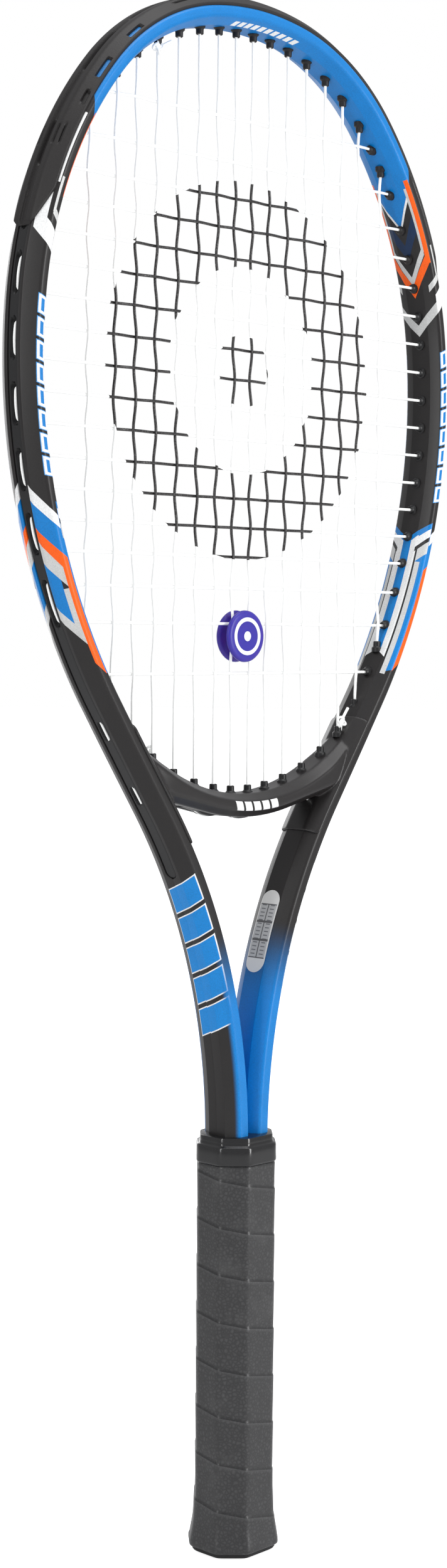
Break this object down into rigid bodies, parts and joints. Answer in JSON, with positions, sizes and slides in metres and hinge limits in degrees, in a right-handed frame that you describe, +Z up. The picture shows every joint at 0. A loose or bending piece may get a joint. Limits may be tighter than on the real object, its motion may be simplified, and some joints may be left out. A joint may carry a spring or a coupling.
{
  "type": "tennis racket",
  "caption": "Strung tennis racket with a hollow hoop, moulded throat bridge, woven strings, wound octagonal grip and a sliding string dampener.",
  "frame": {"origin": "centre of the flat butt face at the bottom of the handle", "axes": "+Z runs up the handle to the top of the hoop, X runs across the head in the string plane, and -Y is the front face"},
  "size_m": [0.2762, 0.0378, 0.686],
  "materials": {
    "frame_paint": "satin lacquer, black with blue bands",
    "bridge_plastic": "fine satin",
    "bumper_nylon": "matte",
    "grommet_nylon": "matte",
    "string_nylon": "clear white nylon",
    "dampener_rubber": "soft silicone",
    "label_film": "printed film",
    "pallet_foam": "moulded structural foam",
    "cap_plastic": "fine matte",
    "staple_steel": "galvanised",
    "badge_plastic": "satin",
    "grip_tape": "synthetic leather, perforated and wound",
    "finish_tape": "glossy vinyl"
  },
  "bodies": {
    "racket": {"frame_tube": "frame_paint", "throat_bridge": "bridge_plastic", "bumper_guard": "bumper_nylon", "grommet_strip_left": "grommet_nylon", "grommet_strip_right": "grommet_nylon", "grommet_strip_bridge": "grommet_nylon", "main_string": "string_nylon", "cross_string": "string_nylon", "rating_label": "label_film", "pallet_front": "pallet_foam", "pallet_back": "pallet_foam", "butt_cap": "cap_plastic", "butt_staples": "staple_steel", "butt_badge": "badge_plastic", "grip_tape": "grip_tape", "grip_staple": "staple_steel", "finishing_tape": "finish_tape"},
    "dampener": {"dampener": "dampener_rubber"}
  },
  "joints": [
    {"name": "dampener_slide", "type": "slide", "parent": "racket", "child": "dampener", "axis": [0, 0, -1], "range_m": [0, 0.0109]}
  ]
}
